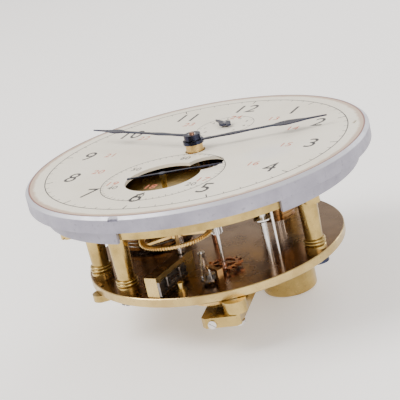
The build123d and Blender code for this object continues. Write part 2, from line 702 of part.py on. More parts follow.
with BuildPart() as barrel_cover:
    with BuildSketch(Plane.XY.offset(DRUM_TOP - COVER_THICKNESS)):
        with Locations(BARREL_AXIS):
            Circle(DRUM_RADIUS - 0.8)
            Circle(DRUM_BORE, mode=Mode.SUBTRACT)
    extrude(amount=COVER_THICKNESS)
save(barrel_cover, "barrel_cover")

with BuildPart() as barrel_arbor:
    with BuildSketch(Plane.XY.offset(BACK_BOTTOM - 2.0)):
        with Locations(BARREL_AXIS):
            Circle(BARREL_ARBOR_RADIUS)
    extrude(amount=FRONT_BOTTOM - BACK_BOTTOM + 2.0)
    with BuildSketch(Plane.XY.offset(FRONT_BOTTOM)):
        with Locations(BARREL_AXIS):
            Circle(BARREL_ARBOR_RADIUS / 2)
    extrude(amount=4.0)
save(barrel_arbor, "barrel_arbor")

SPRING_HEIGHT = DRUM_HEIGHT - COVER_THICKNESS - 1.4 - 1.6
SPRING_TURNS = 6
SPRING_STRIP = 0.5


def spiral_points(turns, start_radius, end_radius, steps):
    """Even spiral from its inner end to its outer end."""
    points = []
    for count in range(turns * steps + 1):
        share = count / (turns * steps)
        points.append(polar(start_radius + (end_radius - start_radius) * share, 360 * turns * share))
    return points


SPRING_START = BARREL_ARBOR_RADIUS + 0.4
SPRING_FINISH = 9.6
MAINSPRING_INNER = spiral_points(SPRING_TURNS, SPRING_START, SPRING_FINISH, 20)
MAINSPRING_OUTER = spiral_points(SPRING_TURNS, SPRING_START + SPRING_STRIP, SPRING_FINISH + SPRING_STRIP, 20)

with BuildPart() as mainspring:
    with BuildSketch(Plane.XY.offset(DRUM_BASE + 1.4 + 0.8)):
        with Locations(BARREL_AXIS):
            Polygon(*MAINSPRING_INNER, *reversed(MAINSPRING_OUTER), align=None)
    extrude(amount=SPRING_HEIGHT)
save(mainspring, "mainspring")

RATCHET_RADIUS = 6.4


def ratchet_points():
    """Saw teeth with one steep side."""
    points = []
    for count in range(RATCHET_TEETH):
        angle = count * 360 / RATCHET_TEETH
        points.append(polar(RATCHET_RADIUS, angle))
        points.append(polar(RATCHET_RADIUS - 0.9, angle + 1.0))
    return points


with BuildPart() as setup_ratchet:
    with BuildSketch(Plane.XY.offset(BACK_BOTTOM - 1.6)):
        with Locations(BARREL_AXIS):
            Polygon(*ratchet_points(), align=None)
            Circle(BARREL_ARBOR_RADIUS, mode=Mode.SUBTRACT)
    extrude(amount=1.4)
save(setup_ratchet, "setup_ratchet")

CLICK_AXIS = (-24.5, 15.5)

with BuildPart() as setup_click:
    with BuildSketch(Plane.XY.offset(BACK_BOTTOM - 1.6)):
        with Locations(CLICK_AXIS):
            Circle(2.0)
        with BuildLine():
            Polyline(
                (CLICK_AXIS[0] + 1.9, CLICK_AXIS[1] - 0.6),
                (CLICK_AXIS[0] + 4.9, CLICK_AXIS[1] - 5.6),
                (CLICK_AXIS[0] + 3.95, CLICK_AXIS[1] - 5.8),
                (CLICK_AXIS[0] - 0.6, CLICK_AXIS[1] - 1.9),
                close=True,
            )
        make_face()
        with Locations(CLICK_AXIS):
            Circle(1.0 + RUNNING_FIT, mode=Mode.SUBTRACT)
    extrude(amount=1.4)
save(setup_click, "setup_click")

with BuildPart() as click_stud:
    with BuildSketch(Plane.XY.offset(BACK_BOTTOM)):
        with Locations(CLICK_AXIS):
            Circle(1.0)
    extrude(amount=-1.8)
    with BuildSketch(Plane.XY.offset(BACK_BOTTOM - 1.8)):
        with Locations(CLICK_AXIS):
            Circle(1.8)
    extrude(amount=-0.8)
save(click_stud, "click_stud")

CHAIN_THICKNESS = 0.4
CHAIN_HEIGHT = 0.8
CHAIN_GAP = 0.12
CHAIN_BASE = CONE_TOP - 0.6 - 0.25 - CHAIN_HEIGHT
CHAIN_SPAN = distance(BARREL_AXIS, FUSEE_AXIS)
CHAIN_FROM = DRUM_RADIUS + CHAIN_GAP
CHAIN_TO = cone_radius(0.6) - 0.5 + CHAIN_GAP
CHAIN_LEAN = degrees(asin((CHAIN_FROM - CHAIN_TO) / CHAIN_SPAN))
CHAIN_SIDE = bearing(BARREL_AXIS, FUSEE_AXIS) + 90 - CHAIN_LEAN
CHAIN_WRAP = 200


def on_circle(centre, radius, angle):
    return (centre[0] + radius * cos(radians(angle)), centre[1] + radius * sin(radians(angle)))


with BuildPart() as fusee_chain:
    with BuildSketch(Plane.XY.offset(CHAIN_BASE)):
        with BuildLine():
            for extra in (0, CHAIN_THICKNESS):
                CenterArc(BARREL_AXIS, CHAIN_FROM + extra, CHAIN_SIDE, CHAIN_WRAP)
                Line(
                    on_circle(BARREL_AXIS, CHAIN_FROM + extra, CHAIN_SIDE),
                    on_circle(FUSEE_AXIS, CHAIN_TO + extra, CHAIN_SIDE),
                )
                CenterArc(FUSEE_AXIS, CHAIN_TO + extra, CHAIN_SIDE, -CHAIN_WRAP)
            Line(
                on_circle(BARREL_AXIS, CHAIN_FROM, CHAIN_SIDE + CHAIN_WRAP),
                on_circle(BARREL_AXIS, CHAIN_FROM + CHAIN_THICKNESS, CHAIN_SIDE + CHAIN_WRAP),
            )
            Line(
                on_circle(FUSEE_AXIS, CHAIN_TO, CHAIN_SIDE - CHAIN_WRAP),
                on_circle(FUSEE_AXIS, CHAIN_TO + CHAIN_THICKNESS, CHAIN_SIDE - CHAIN_WRAP),
            )
        make_face()
    extrude(amount=CHAIN_HEIGHT)
save(fusee_chain, "fusee_chain")

# ---------------------------------------------------------------- work under the dial
MINUTE_TOP = DIAL_TOP + 5.5
HOUR_COLLET_BASE = DIAL_TOP + 2.5
HOUR_COLLET_TOP = DIAL_TOP + 3.6
MINUTE_BASE = DIAL_TOP + 3.8

with BuildPart() as cannon_pinion:
    with BuildSketch(Plane.XY.offset(LOW_WORK)):
        leaves(CENTRE_AXIS, CANNON_LEAVES, MINUTE_MODULE,
               leaf_phase(MINUTE_WORK_AXIS, CENTRE_AXIS, CANNON_LEAVES))
    extrude(amount=WORK_THICKNESS)
    with BuildSketch(Plane.XY.offset(LOW_WORK)):
        Circle(CANNON_PIPE_RADIUS)
    extrude(amount=MINUTE_TOP - LOW_WORK)
    with BuildSketch(Plane.XY.offset(LOW_WORK)):
        Circle(CENTRE_STEM_RADIUS + RUNNING_FIT)
    extrude(amount=MINUTE_TOP - LOW_WORK, mode=Mode.SUBTRACT)
save(cannon_pinion, "cannon_pinion")

with BuildPart() as minute_wheel:
    with BuildSketch(Plane.XY.offset(LOW_WORK)):
        crossed_gear(MINUTE_WORK_AXIS, MINUTE_TEETH, MINUTE_MODULE,
                     bearing(MINUTE_WORK_AXIS, CENTRE_AXIS), 1.4, 4)
    extrude(amount=WORK_THICKNESS)
    with BuildSketch(Plane.XY.offset(LOW_WORK)):
        leaves(MINUTE_WORK_AXIS, MINUTE_LEAVES, HOUR_MODULE,
               leaf_phase(CENTRE_AXIS, MINUTE_WORK_AXIS, MINUTE_LEAVES))
    extrude(amount=HIGH_WORK + WORK_THICKNESS - LOW_WORK)
    with BuildSketch(Plane.XY.offset(LOW_WORK)):
        with Locations(MINUTE_WORK_AXIS):
            Circle(STUD_RADIUS + RUNNING_FIT)
    extrude(amount=3.0, mode=Mode.SUBTRACT)
save(minute_wheel, "minute_wheel")

with BuildPart() as hour_wheel:
    with BuildSketch(Plane.XY.offset(HIGH_WORK)):
        crossed_gear(CENTRE_AXIS, HOUR_TEETH, HOUR_MODULE, bearing(CENTRE_AXIS, MINUTE_WORK_AXIS), 2.6, 4)
    extrude(amount=WORK_THICKNESS)
    with BuildSketch(Plane.XY.offset(HIGH_WORK)):
        Circle(2.2)
    extrude(amount=HOUR_COLLET_TOP - HIGH_WORK)
    with BuildSketch(Plane.XY.offset(DIAL_BOTTOM - 0.2)):
        Circle(HOUR_PIPE_RADIUS)
    extrude(amount=HOUR_COLLET_BASE - DIAL_BOTTOM + 0.2)
    with BuildSketch(Plane.XY.offset(HIGH_WORK)):
        Circle(CANNON_PIPE_RADIUS + RUNNING_FIT)
    extrude(amount=20, mode=Mode.SUBTRACT)
save(hour_wheel, "hour_wheel")

STUD_TOP = HIGH_WORK + WORK_THICKNESS

with BuildPart() as work_studs:
    for spot in (MINUTE_WORK_AXIS, IDLER_AXIS):
        with BuildSketch(Plane.XY.offset(FRONT_TOP - 4.0)):
            with Locations(spot):
                Circle(STUD_RADIUS)
        extrude(amount=STUD_TOP - FRONT_TOP + 4.0)
save(work_studs, "work_studs")

with BuildPart() as reserve_idler:
    with BuildSketch(Plane.XY.offset(LOW_WORK)):
        crossed_gear(IDLER_AXIS, IDLER_TEETH, IDLER_MODULE, bearing(IDLER_AXIS, FUSEE_AXIS), 1.9, 4)
    extrude(amount=WORK_THICKNESS)
    with BuildSketch(Plane.XY.offset(LOW_WORK)):
        leaves(IDLER_AXIS, IDLER_LEAVES, RESERVE_MODULE, leaf_phase(RESERVE_AXIS, IDLER_AXIS, IDLER_LEAVES))
    extrude(amount=HIGH_WORK + WORK_THICKNESS - LOW_WORK)
    with BuildSketch(Plane.XY.offset(LOW_WORK)):
        with Locations(IDLER_AXIS):
            Circle(STUD_RADIUS + RUNNING_FIT)
    extrude(amount=3.0, mode=Mode.SUBTRACT)
save(reserve_idler, "reserve_idler")

RESERVE_STEM_TOP = DIAL_TOP + 1.5

with BuildPart() as reserve_arbor:
    with BuildSketch(Plane.XY.offset(FRONT_TOP - 4.0)):
        with Locations(RESERVE_AXIS):
            Circle(STUD_RADIUS)
    extrude(amount=RESERVE_STEM_TOP - FRONT_TOP + 4.0)
save(reserve_arbor, "reserve_arbor")

with BuildPart() as reserve_wheel:
    with BuildSketch(Plane.XY.offset(HIGH_WORK)):
        crossed_gear(RESERVE_AXIS, RESERVE_TEETH, RESERVE_MODULE, bearing(RESERVE_AXIS, IDLER_AXIS), 2.6, 4)
        with Locations(RESERVE_AXIS):
            Circle(STUD_RADIUS, mode=Mode.SUBTRACT)
    extrude(amount=WORK_THICKNESS)
    with BuildSketch(Plane.XY.offset(FRONT_TOP + 0.1)):
        with Locations(RESERVE_AXIS):
            Circle(1.6)
            Circle(STUD_RADIUS, mode=Mode.SUBTRACT)
    extrude(amount=HIGH_WORK - FRONT_TOP - 0.1)
save(reserve_wheel, "reserve_wheel")

# ---------------------------------------------------------------- hands
HOUR_HAND_ANGLE = 24
MINUTE_HAND_ANGLE = 163.5
SECONDS_HAND_ANGLE = 20
RESERVE_HAND_ANGLE = 143
HAND_THICKNESS = 0.35


def hand_points(stations):
    """Both edges of a slender hand from its reach and half-width at each station."""
    upper = [(reach, half) for reach, half in stations]
    lower = [(reach, -half) for reach, half in reversed(stations)]
    return upper + lower


with BuildPart() as hour_hand:
    with BuildSketch(Plane.XY.offset(HOUR_COLLET_BASE)):
        Circle(3.3)
        Circle(2.2, mode=Mode.SUBTRACT)
    extrude(amount=HOUR_COLLET_TOP - HOUR_COLLET_BASE)
    with BuildSketch(Plane.XY.offset(HOUR_COLLET_BASE + 0.5)):
        with Locations(Location((0, 0, 0), (0, 0, HOUR_HAND_ANGLE))):
            Polygon(
                *hand_points(((2.4, 0.9), (8, 0.75), (13, 1.15), (18, 0.65), (25.5, 0.7), (28, 1.9),
                              (30.5, 2.1), (33.5, 1.4), (36, 0.7), (42.5, 0.3))),
                align=None,
            )
    extrude(amount=HAND_THICKNESS)
save(hour_hand, "hour_hand")

with BuildPart() as minute_hand:
    with BuildSketch(Plane.XY.offset(MINUTE_BASE)):
        Circle(2.7)
        Circle(CANNON_PIPE_RADIUS, mode=Mode.SUBTRACT)
    extrude(amount=MINUTE_TOP - MINUTE_BASE)
    with BuildSketch(Plane.XY.offset(MINUTE_BASE + 0.9)):
        with Locations(Location((0, 0, 0), (0, 0, MINUTE_HAND_ANGLE))):
            Polygon(
                *hand_points(((2.0, 0.8), (9, 0.6), (14, 1.0), (19, 0.55), (31, 0.6), (33.5, 1.4),
                              (35.5, 1.5), (38, 0.9), (40.5, 0.5), (46, 0.2))),
                align=None,
            )
    extrude(amount=HAND_THICKNESS)
save(minute_hand, "minute_hand")

with BuildPart() as seconds_hand:
    with BuildSketch(Plane.XY.offset(DIAL_TOP + 0.9)):
        with Locations(Location((*SECONDS_AXIS, 0), (0, 0, SECONDS_HAND_ANGLE))):
            Polygon(
                *hand_points(((-10.9, 0.55), (-9.4, 0.55), (-9.0, 0.25), (-1.6, 0.5), (1.6, 0.5),
                              (18.8, 0.1))),
                align=None,
            )
            Circle(1.2)
    extrude(amount=HAND_THICKNESS)
save(seconds_hand, "seconds_hand")

with BuildPart() as reserve_hand:
    with BuildSketch(Plane.XY.offset(DIAL_TOP + 0.7)):
        with Locations(Location((*RESERVE_AXIS, 0), (0, 0, RESERVE_HAND_ANGLE))):
            Circle(2.0)
            Polygon(*hand_points(((-3.4, 0.5), (0, 0.9), (6.2, 0.25))), align=None)
            Circle(STUD_RADIUS, mode=Mode.SUBTRACT)
    extrude(amount=0.6)
save(reserve_hand, "reserve_hand")

# ---------------------------------------------------------------- balance and detent
BALANCE_RADIUS = 7.0
STAFF_TOP = BACK_TOP + 4.4
STAFF_PIVOT = 0.25
ROLLER_RADIUS = 3.25
DISCHARGE_RADIUS = 1.5

with BuildPart() as balance_staff:
    with BuildSketch(Plane.XY.offset(BRIDGE_TOP + 0.2)):
        with Locations(BALANCE_AXIS):
            Circle(STAFF_RADIUS)
    extrude(amount=STAFF_TOP - BRIDGE_TOP - 0.2)
    with BuildSketch(Plane.XY.offset(BRIDGE_TOP - 1.5)):
        with Locations(BALANCE_AXIS):
            Circle(STAFF_PIVOT)
    extrude(amount=STAFF_TOP - BRIDGE_TOP + 2.5)
save(balance_staff, "balance_staff")

with BuildPart() as impulse_roller:
    with BuildSketch(Plane.XY.offset(ESCAPE_LEVEL)):
        with Locations(BALANCE_AXIS):
            Circle(ROLLER_RADIUS)
            Circle(STAFF_RADIUS, mode=Mode.SUBTRACT)
        with Locations(on_circle(BALANCE_AXIS, ROLLER_RADIUS, 200)):
            Circle(0.8, mode=Mode.SUBTRACT)
    extrude(amount=0.7)
    with BuildSketch(Plane.XY.offset(ESCAPE_LEVEL + 0.7)):
        with Locations(BALANCE_AXIS):
            Circle(DISCHARGE_RADIUS)
            Circle(STAFF_RADIUS, mode=Mode.SUBTRACT)
    extrude(amount=0.9)
save(impulse_roller, "impulse_roller")

with BuildPart() as balance_wheel:
    with BuildSketch(Plane.XY.offset(BALANCE_LEVEL)):
        with Locations(BALANCE_AXIS):
            Circle(BALANCE_RADIUS)
            Circle(BALANCE_RADIUS - 1.1, mode=Mode.SUBTRACT)
    extrude(amount=BALANCE_THICKNESS)
    with BuildSketch(Plane.XY.offset(BALANCE_LEVEL + 0.3)):
        with Locations(Location((*BALANCE_AXIS, 0), (0, 0, 35))):
            Rectangle(2 * BALANCE_RADIUS - 1.2, 1.4)
            Circle(1.7)
            Circle(STAFF_RADIUS, mode=Mode.SUBTRACT)
    extrude(amount=0.7)
save(balance_wheel, "balance_wheel")

HAIR_RADIUS = 3.6
HAIR_TURNS = 3
HAIR_PITCH = 0.42
HAIR_WIRE = 0.13

with BuildPart() as balance_spring:
    with BuildLine(Plane((*BALANCE_AXIS, BALANCE_LEVEL - 1.6))) as coil:
        Helix(HAIR_PITCH, HAIR_TURNS * HAIR_PITCH, HAIR_RADIUS)
    with BuildSketch(Plane(origin=coil.line @ 0, z_dir=coil.line % 0)):
        Circle(HAIR_WIRE)
    sweep(is_frenet=True)
save(balance_spring, "balance_spring")

POTENCE_SPOT = (17.2, -32.2)
POTENCE_TURN = bearing(BALANCE_AXIS, POTENCE_SPOT)

with BuildPart() as roller_potence:
    with BuildSketch(Plane.XY.offset(BACK_TOP)):
        with Locations(Location((*POTENCE_SPOT, 0), (0, 0, POTENCE_TURN))):
            Rectangle(1.2, 2.0)
    extrude(amount=STAFF_TOP + 0.9 - BACK_TOP)
    with BuildSketch(Plane.XY.offset(STAFF_TOP + 0.1)):
        with Locations(Location((*BALANCE_AXIS, 0), (0, 0, POTENCE_TURN))):
            Circle(1.0)
            with Locations((2.7, 0)):
                Rectangle(5.4, 1.4)
            Circle(STAFF_PIVOT + RUNNING_FIT, mode=Mode.SUBTRACT)
    extrude(amount=0.8)
save(roller_potence, "roller_potence")

BRIDGE_TURN = 13.0
BRIDGE_FRAME = Plane(origin=(18.6, -40.25, BRIDGE_TOP), z_dir=(0, 0, 1)).rotated((0, 0, BRIDGE_TURN))
BRIDGE_WIDTH = 11.9
BRIDGE_LENGTH = 27.0
OUTER_FOOT = (21.8, -35.3)
INNER_FOOT = (13.6, -16.4)
FOOT_RADIUS = 3.7

END_SCREW_SPOT = BRIDGE_FRAME.from_local_coords(Vector(-2.6, 0, -2.0))
END_SCREW_FRAME = Plane(END_SCREW_SPOT, x_dir=BRIDGE_FRAME.x_dir, z_dir=BRIDGE_FRAME.y_dir)

with BuildPart() as balance_bridge:
    with BuildSketch(BRIDGE_FRAME):
        with Locations((0, BRIDGE_LENGTH / 2)):
            Rectangle(BRIDGE_WIDTH, BRIDGE_LENGTH)
    extrude(amount=-BRIDGE_THICKNESS)
    chamfer(balance_bridge.edges().filter_by(Axis.Z), 1.2)
    with BuildSketch(Plane.XY.offset(BRIDGE_TOP)):
        with Locations(BALANCE_AXIS):
            Circle(STAFF_PIVOT + RUNNING_FIT)
        with Locations(OUTER_FOOT, INNER_FOOT):
            Circle(1.3)
    extrude(amount=-BRIDGE_THICKNESS, mode=Mode.SUBTRACT)
    with BuildSketch(END_SCREW_FRAME):
        Circle(0.8)
    extrude(amount=3.0, mode=Mode.SUBTRACT)
save(balance_bridge, "balance_bridge")

with BuildPart() as bridge_feet:
    with BuildSketch(Plane.XY.offset(BRIDGE_TOP)):
        with Locations(OUTER_FOOT, INNER_FOOT):
            Circle(FOOT_RADIUS)
            Circle(1.3, mode=Mode.SUBTRACT)
    extrude(amount=BACK_BOTTOM - BRIDGE_TOP)
save(bridge_feet, "bridge_feet")

with BuildPart() as bridge_screws:
    with BuildSketch(Plane.XY.offset(BRIDGE_TOP - BRIDGE_THICKNESS)):
        with Locations(OUTER_FOOT, INNER_FOOT):
            Circle(1.3)
    extrude(amount=BACK_BOTTOM - BRIDGE_TOP + BRIDGE_THICKNESS)
    with BuildSketch(Plane.XY.offset(BRIDGE_TOP - BRIDGE_THICKNESS)):
        with Locations(OUTER_FOOT, INNER_FOOT):
            Circle(2.1)
    extrude(amount=-1.0)
    with BuildSketch(Plane.XY.offset(BRIDGE_TOP - BRIDGE_THICKNESS - 1.0)):
        with Locations(OUTER_FOOT, INNER_FOOT):
            Rectangle(5.0, 0.5)
    extrude(amount=0.5, mode=Mode.SUBTRACT)
    with BuildSketch(END_SCREW_FRAME):
        Circle(0.8)
    extrude(amount=3.0)
    with BuildSketch(END_SCREW_FRAME):
        Circle(1.3)
    extrude(amount=-0.5)
    with BuildSketch(END_SCREW_FRAME.offset(-0.5)):
        Rectangle(3.0, 0.35, rotation=35)
    extrude(amount=0.25, mode=Mode.SUBTRACT)
save(bridge_screws, "bridge_screws")

DETENT_LEAN = degrees(asin((ESCAPE_RADIUS - DISCHARGE_RADIUS) / distance(ESCAPE_AXIS, BALANCE_AXIS)))
DETENT_HEADING = bearing(ESCAPE_AXIS, BALANCE_AXIS) + DETENT_LEAN
DETENT_START = on_circle(ESCAPE_AXIS, ESCAPE_RADIUS + 1.0, DETENT_HEADING - 90)
DETENT_FOOT = on_circle(DETENT_START, 11.0, DETENT_HEADING + 180)
DETENT_LEVEL = ESCAPE_LEVEL + 0.85
DETENT_HUB = 1.3

with BuildPart() as detent_stud:
    with BuildSketch(Plane.XY.offset(BACK_TOP)):
        with Locations(DETENT_FOOT):
            Circle(0.7)
    extrude(amount=DETENT_LEVEL + 1.0 - BACK_TOP)
    with BuildSketch(Plane.XY.offset(BACK_TOP)):
        with Locations(DETENT_FOOT):
            Circle(DETENT_HUB)
    extrude(amount=DETENT_LEVEL - 0.1 - BACK_TOP)
save(detent_stud, "detent_stud")

with BuildPart() as detent_lever:
    with BuildSketch(Plane.XY.offset(DETENT_LEVEL)):
        with Locations(Location((*DETENT_FOOT, 0), (0, 0, DETENT_HEADING))):
            Circle(DETENT_HUB)
            with Locations((10.0, 0)):
                Rectangle(20.0, 0.5)
            with Locations((10.6, 0)):
                Rectangle(2.0, 0.9)
            Circle(0.7 + RUNNING_FIT, mode=Mode.SUBTRACT)
    extrude(amount=0.7)
    with BuildSketch(Plane.XY.offset(ESCAPE_LEVEL)):
        with Locations(Location((*DETENT_FOOT, 0), (0, 0, DETENT_HEADING))):
            with Locations((11.0, 0.3)):
                Rectangle(0.7, 0.6)
    extrude(amount=DETENT_LEVEL - ESCAPE_LEVEL)
save(detent_lever, "detent_lever")

# ---------------------------------------------------------------- small bridge at the left, under the plate
LEFT_BRIDGE_SPOT = (-24.6, -28.4)

with BuildPart() as left_bridge:
    with BuildSketch(Plane.XY.offset(BACK_BOTTOM)):
        with Locations(Location((*LEFT_BRIDGE_SPOT, 0), (0, 0, 40))):
            SlotOverall(12.0, 6.0)
    extrude(amount=-2.2)
save(left_bridge, "left_bridge")
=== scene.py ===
from math import cos, radians, sin

import bpy
from mathutils import Matrix, Vector


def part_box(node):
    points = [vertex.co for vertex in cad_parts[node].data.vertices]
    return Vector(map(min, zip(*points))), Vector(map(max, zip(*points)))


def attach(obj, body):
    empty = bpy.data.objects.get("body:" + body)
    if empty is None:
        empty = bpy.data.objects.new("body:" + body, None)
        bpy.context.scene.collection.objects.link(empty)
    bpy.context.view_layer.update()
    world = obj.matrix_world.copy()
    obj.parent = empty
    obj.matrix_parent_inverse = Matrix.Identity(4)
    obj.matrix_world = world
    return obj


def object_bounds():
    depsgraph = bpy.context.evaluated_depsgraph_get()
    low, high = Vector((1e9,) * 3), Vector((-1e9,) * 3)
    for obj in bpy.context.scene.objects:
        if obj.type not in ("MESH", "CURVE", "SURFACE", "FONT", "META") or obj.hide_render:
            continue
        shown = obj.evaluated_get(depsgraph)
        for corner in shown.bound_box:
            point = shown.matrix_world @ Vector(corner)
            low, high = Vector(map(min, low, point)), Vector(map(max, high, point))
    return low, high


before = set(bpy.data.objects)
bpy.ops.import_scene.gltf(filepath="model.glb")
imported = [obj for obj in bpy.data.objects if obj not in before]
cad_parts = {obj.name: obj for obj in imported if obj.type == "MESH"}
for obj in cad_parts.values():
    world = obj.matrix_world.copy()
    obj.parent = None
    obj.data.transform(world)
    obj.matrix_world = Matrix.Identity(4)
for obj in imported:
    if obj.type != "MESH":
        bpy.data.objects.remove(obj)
bounds_at_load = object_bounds()

# ---------------------------------------------------------------- brass
# Plates, pillars and wheels are brass: lacquered on the turned pieces, gilt on the wheels, and painted
# dark as painted shade on the barrel, fusee and potence. All of it carries faint smears and small dull spots
# from handling.
MM = 0.001


def new_group(name, inputs, outputs):
    """An empty shader group with its sockets; gives the group, its input and its output node."""
    group = bpy.data.node_groups.new(name, "ShaderNodeTree")
    for label, kind, value in inputs:
        socket = group.interface.new_socket(label, in_out="INPUT", socket_type=kind)
        socket.default_value = value
    for label, kind in outputs:
        group.interface.new_socket(label, in_out="OUTPUT", socket_type=kind)
    return group, group.nodes.new("NodeGroupInput"), group.nodes.new("NodeGroupOutput")


def noise(tree, vector, scale, detail=4.0, rough=0.55):
    node = tree.nodes.new("ShaderNodeTexNoise")
    node.inputs["Scale"].default_value = scale
    node.inputs["Detail"].default_value = detail
    node.inputs["Roughness"].default_value = rough
    tree.links.new(vector, node.inputs["Vector"])
    return node.outputs["Fac"]


def remap(tree, value, low, high, to_low=0.0, to_high=1.0):
    node = tree.nodes.new("ShaderNodeMapRange")
    node.inputs["From Min"].default_value = low
    node.inputs["From Max"].default_value = high
    node.inputs["To Min"].default_value = to_low
    node.inputs["To Max"].default_value = to_high
    tree.links.new(value, node.inputs["Value"])
    return node.outputs["Result"]


def blend(tree, share, first, second):
    """Mix of two colours; each is a socket or a colour."""
    node = tree.nodes.new("ShaderNodeMix")
    node.data_type = "RGBA"
    for slot, value in ((0, share), (6, first), (7, second)):
        if isinstance(value, bpy.types.NodeSocket):
            tree.links.new(value, node.inputs[slot])
        else:
            node.inputs[slot].default_value = value
    return node.outputs[2]


def math_node(tree, operation, first, second=None):
    node = tree.nodes.new("ShaderNodeMath")
    node.operation = operation
    for slot, value in ((0, first), (1, second)):
        if isinstance(value, bpy.types.NodeSocket):
            tree.links.new(value, node.inputs[slot])
        elif value is not None:
            node.inputs[slot].default_value = value
    return node.outputs["Value"]


def make_wear_group():
    """Colour between a clean and a tarnished tone, roughness with smears, and a fine grain normal."""
    group, source, sink = new_group(
        "metal_wear",
        [
            ("Clean", "NodeSocketColor", (0.8, 0.6, 0.3, 1)),
            ("Tarnish", "NodeSocketColor", (0.4, 0.25, 0.1, 1)),
            ("Smooth", "NodeSocketFloat", 0.2),
            ("Dull", "NodeSocketFloat", 0.45),
            ("Amount", "NodeSocketFloat", 0.5),
            ("Grain", "NodeSocketFloat", 0.1),
        ],
        [("Color", "NodeSocketColor"), ("Roughness", "NodeSocketFloat"), ("Normal", "NodeSocketVector")],
    )
    coords = group.nodes.new("ShaderNodeTexCoord").outputs["Object"]
    smears = remap(group, noise(group, coords, 140.0, 5.0), 0.35, 0.68)
    spots = remap(group, noise(group, coords, 1400.0, 3.0), 0.60, 0.72)
    worst = math_node(group, "MAXIMUM", smears, spots)
    share = math_node(group, "MULTIPLY", worst, source.outputs["Amount"])
    colour = blend(group, share, source.outputs["Clean"], source.outputs["Tarnish"])
    group.links.new(colour, sink.inputs["Color"])
    span = math_node(group, "SUBTRACT", source.outputs["Dull"], source.outputs["Smooth"])
    rough = math_node(group, "ADD", source.outputs["Smooth"], math_node(group, "MULTIPLY", span, smears))
    group.links.new(rough, sink.inputs["Roughness"])
    bump = group.nodes.new("ShaderNodeBump")
    bump.inputs["Distance"].default_value = 0.02 * MM
    group.links.new(source.outputs["Grain"], bump.inputs["Strength"])
    group.links.new(noise(group, coords, 6000.0, 2.0), bump.inputs["Height"])
    group.links.new(bump.outputs["Normal"], sink.inputs["Normal"])
    return group


METAL_WEAR = make_wear_group()


def empty_material(name):
    material = bpy.data.materials.new(name)
    material.use_nodes = True
    return material, material.node_tree, material.node_tree.nodes["Principled BSDF"]


def wear_node(tree, clean, tarnish, smooth, dull, amount, grain):
    wear = tree.nodes.new("ShaderNodeGroup")
    wear.node_tree = METAL_WEAR
    wear.inputs["Clean"].default_value = (*clean, 1)
    wear.inputs["Tarnish"].default_value = (*tarnish, 1)
    wear.inputs["Smooth"].default_value = smooth
    wear.inputs["Dull"].default_value = dull
    wear.inputs["Amount"].default_value = amount
    wear.inputs["Grain"].default_value = grain
    return wear


def worn_metal(name, *tones_and_finish):
    material, tree, shader = empty_material(name)
    shader.inputs["Metallic"].default_value = 1.0
    wear = wear_node(tree, *tones_and_finish)
    tree.links.new(wear.outputs["Color"], shader.inputs["Base Color"])
    tree.links.new(wear.outputs["Roughness"], shader.inputs["Roughness"])
    tree.links.new(wear.outputs["Normal"], shader.inputs["Normal"])
    return material


def paint(material, *nodes):
    for node in nodes:
        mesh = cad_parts[node].data
        mesh.materials.clear()
        mesh.materials.append(material)


LACQUERED_BRASS = worn_metal("lacquered_brass", (0.54, 0.395, 0.145), (0.26, 0.175, 0.055),
                             0.17, 0.34, 0.7, 0.15)
GILT_BRASS = worn_metal("gilt_brass", (0.68, 0.475, 0.19), (0.40, 0.26, 0.09), 0.24, 0.40, 0.45, 0.4)
# Painted shade: barrel, fusee and potence sit between the plates, so their brass is painted dark.
SHADED_BRASS = worn_metal("brass_painted_shade", (0.34, 0.19, 0.075), (0.15, 0.075, 0.028), 0.10, 0.26, 0.6, 0.1)
# The escape wheel's copper-brown tone is painted dark as painted shade, for it sits between the plates.
SHADED_COPPER = worn_metal("copper_painted_shade", (0.40, 0.17, 0.085), (0.17, 0.07, 0.035), 0.16, 0.32, 0.6, 0.2)
paint(LACQUERED_BRASS, "front_plate", "pillar_front_left", "pillar_rear_left", "pillar_right", "pillar_back",
      "plate_stud", "ring_screws", "winding_sleeve", "balance_bridge",
      "bridge_feet", "left_bridge", "seconds_pipe")
paint(GILT_BRASS, "centre_wheel", "third_wheel", "fourth_wheel", "great_wheel",
      "minute_wheel", "hour_wheel", "reserve_idler", "reserve_wheel", "balance_wheel")
# These parts take the brass that is painted dark as painted shade.
paint(SHADED_BRASS, "fusee_cone", "barrel_drum", "barrel_cover", "roller_potence")
# Escape wheel: copper tone darkened as painted shade.
paint(SHADED_COPPER, "escape_wheel")

# ---------------------------------------------------------------- detent block
# The block that carries the detent is brass, filed bright on its sides and ends. Its upper face,
# under the front plate, is painted a dark brown as painted shade.


PLATE_WEAR = 0.6
PLATE_GRAIN = 0.1


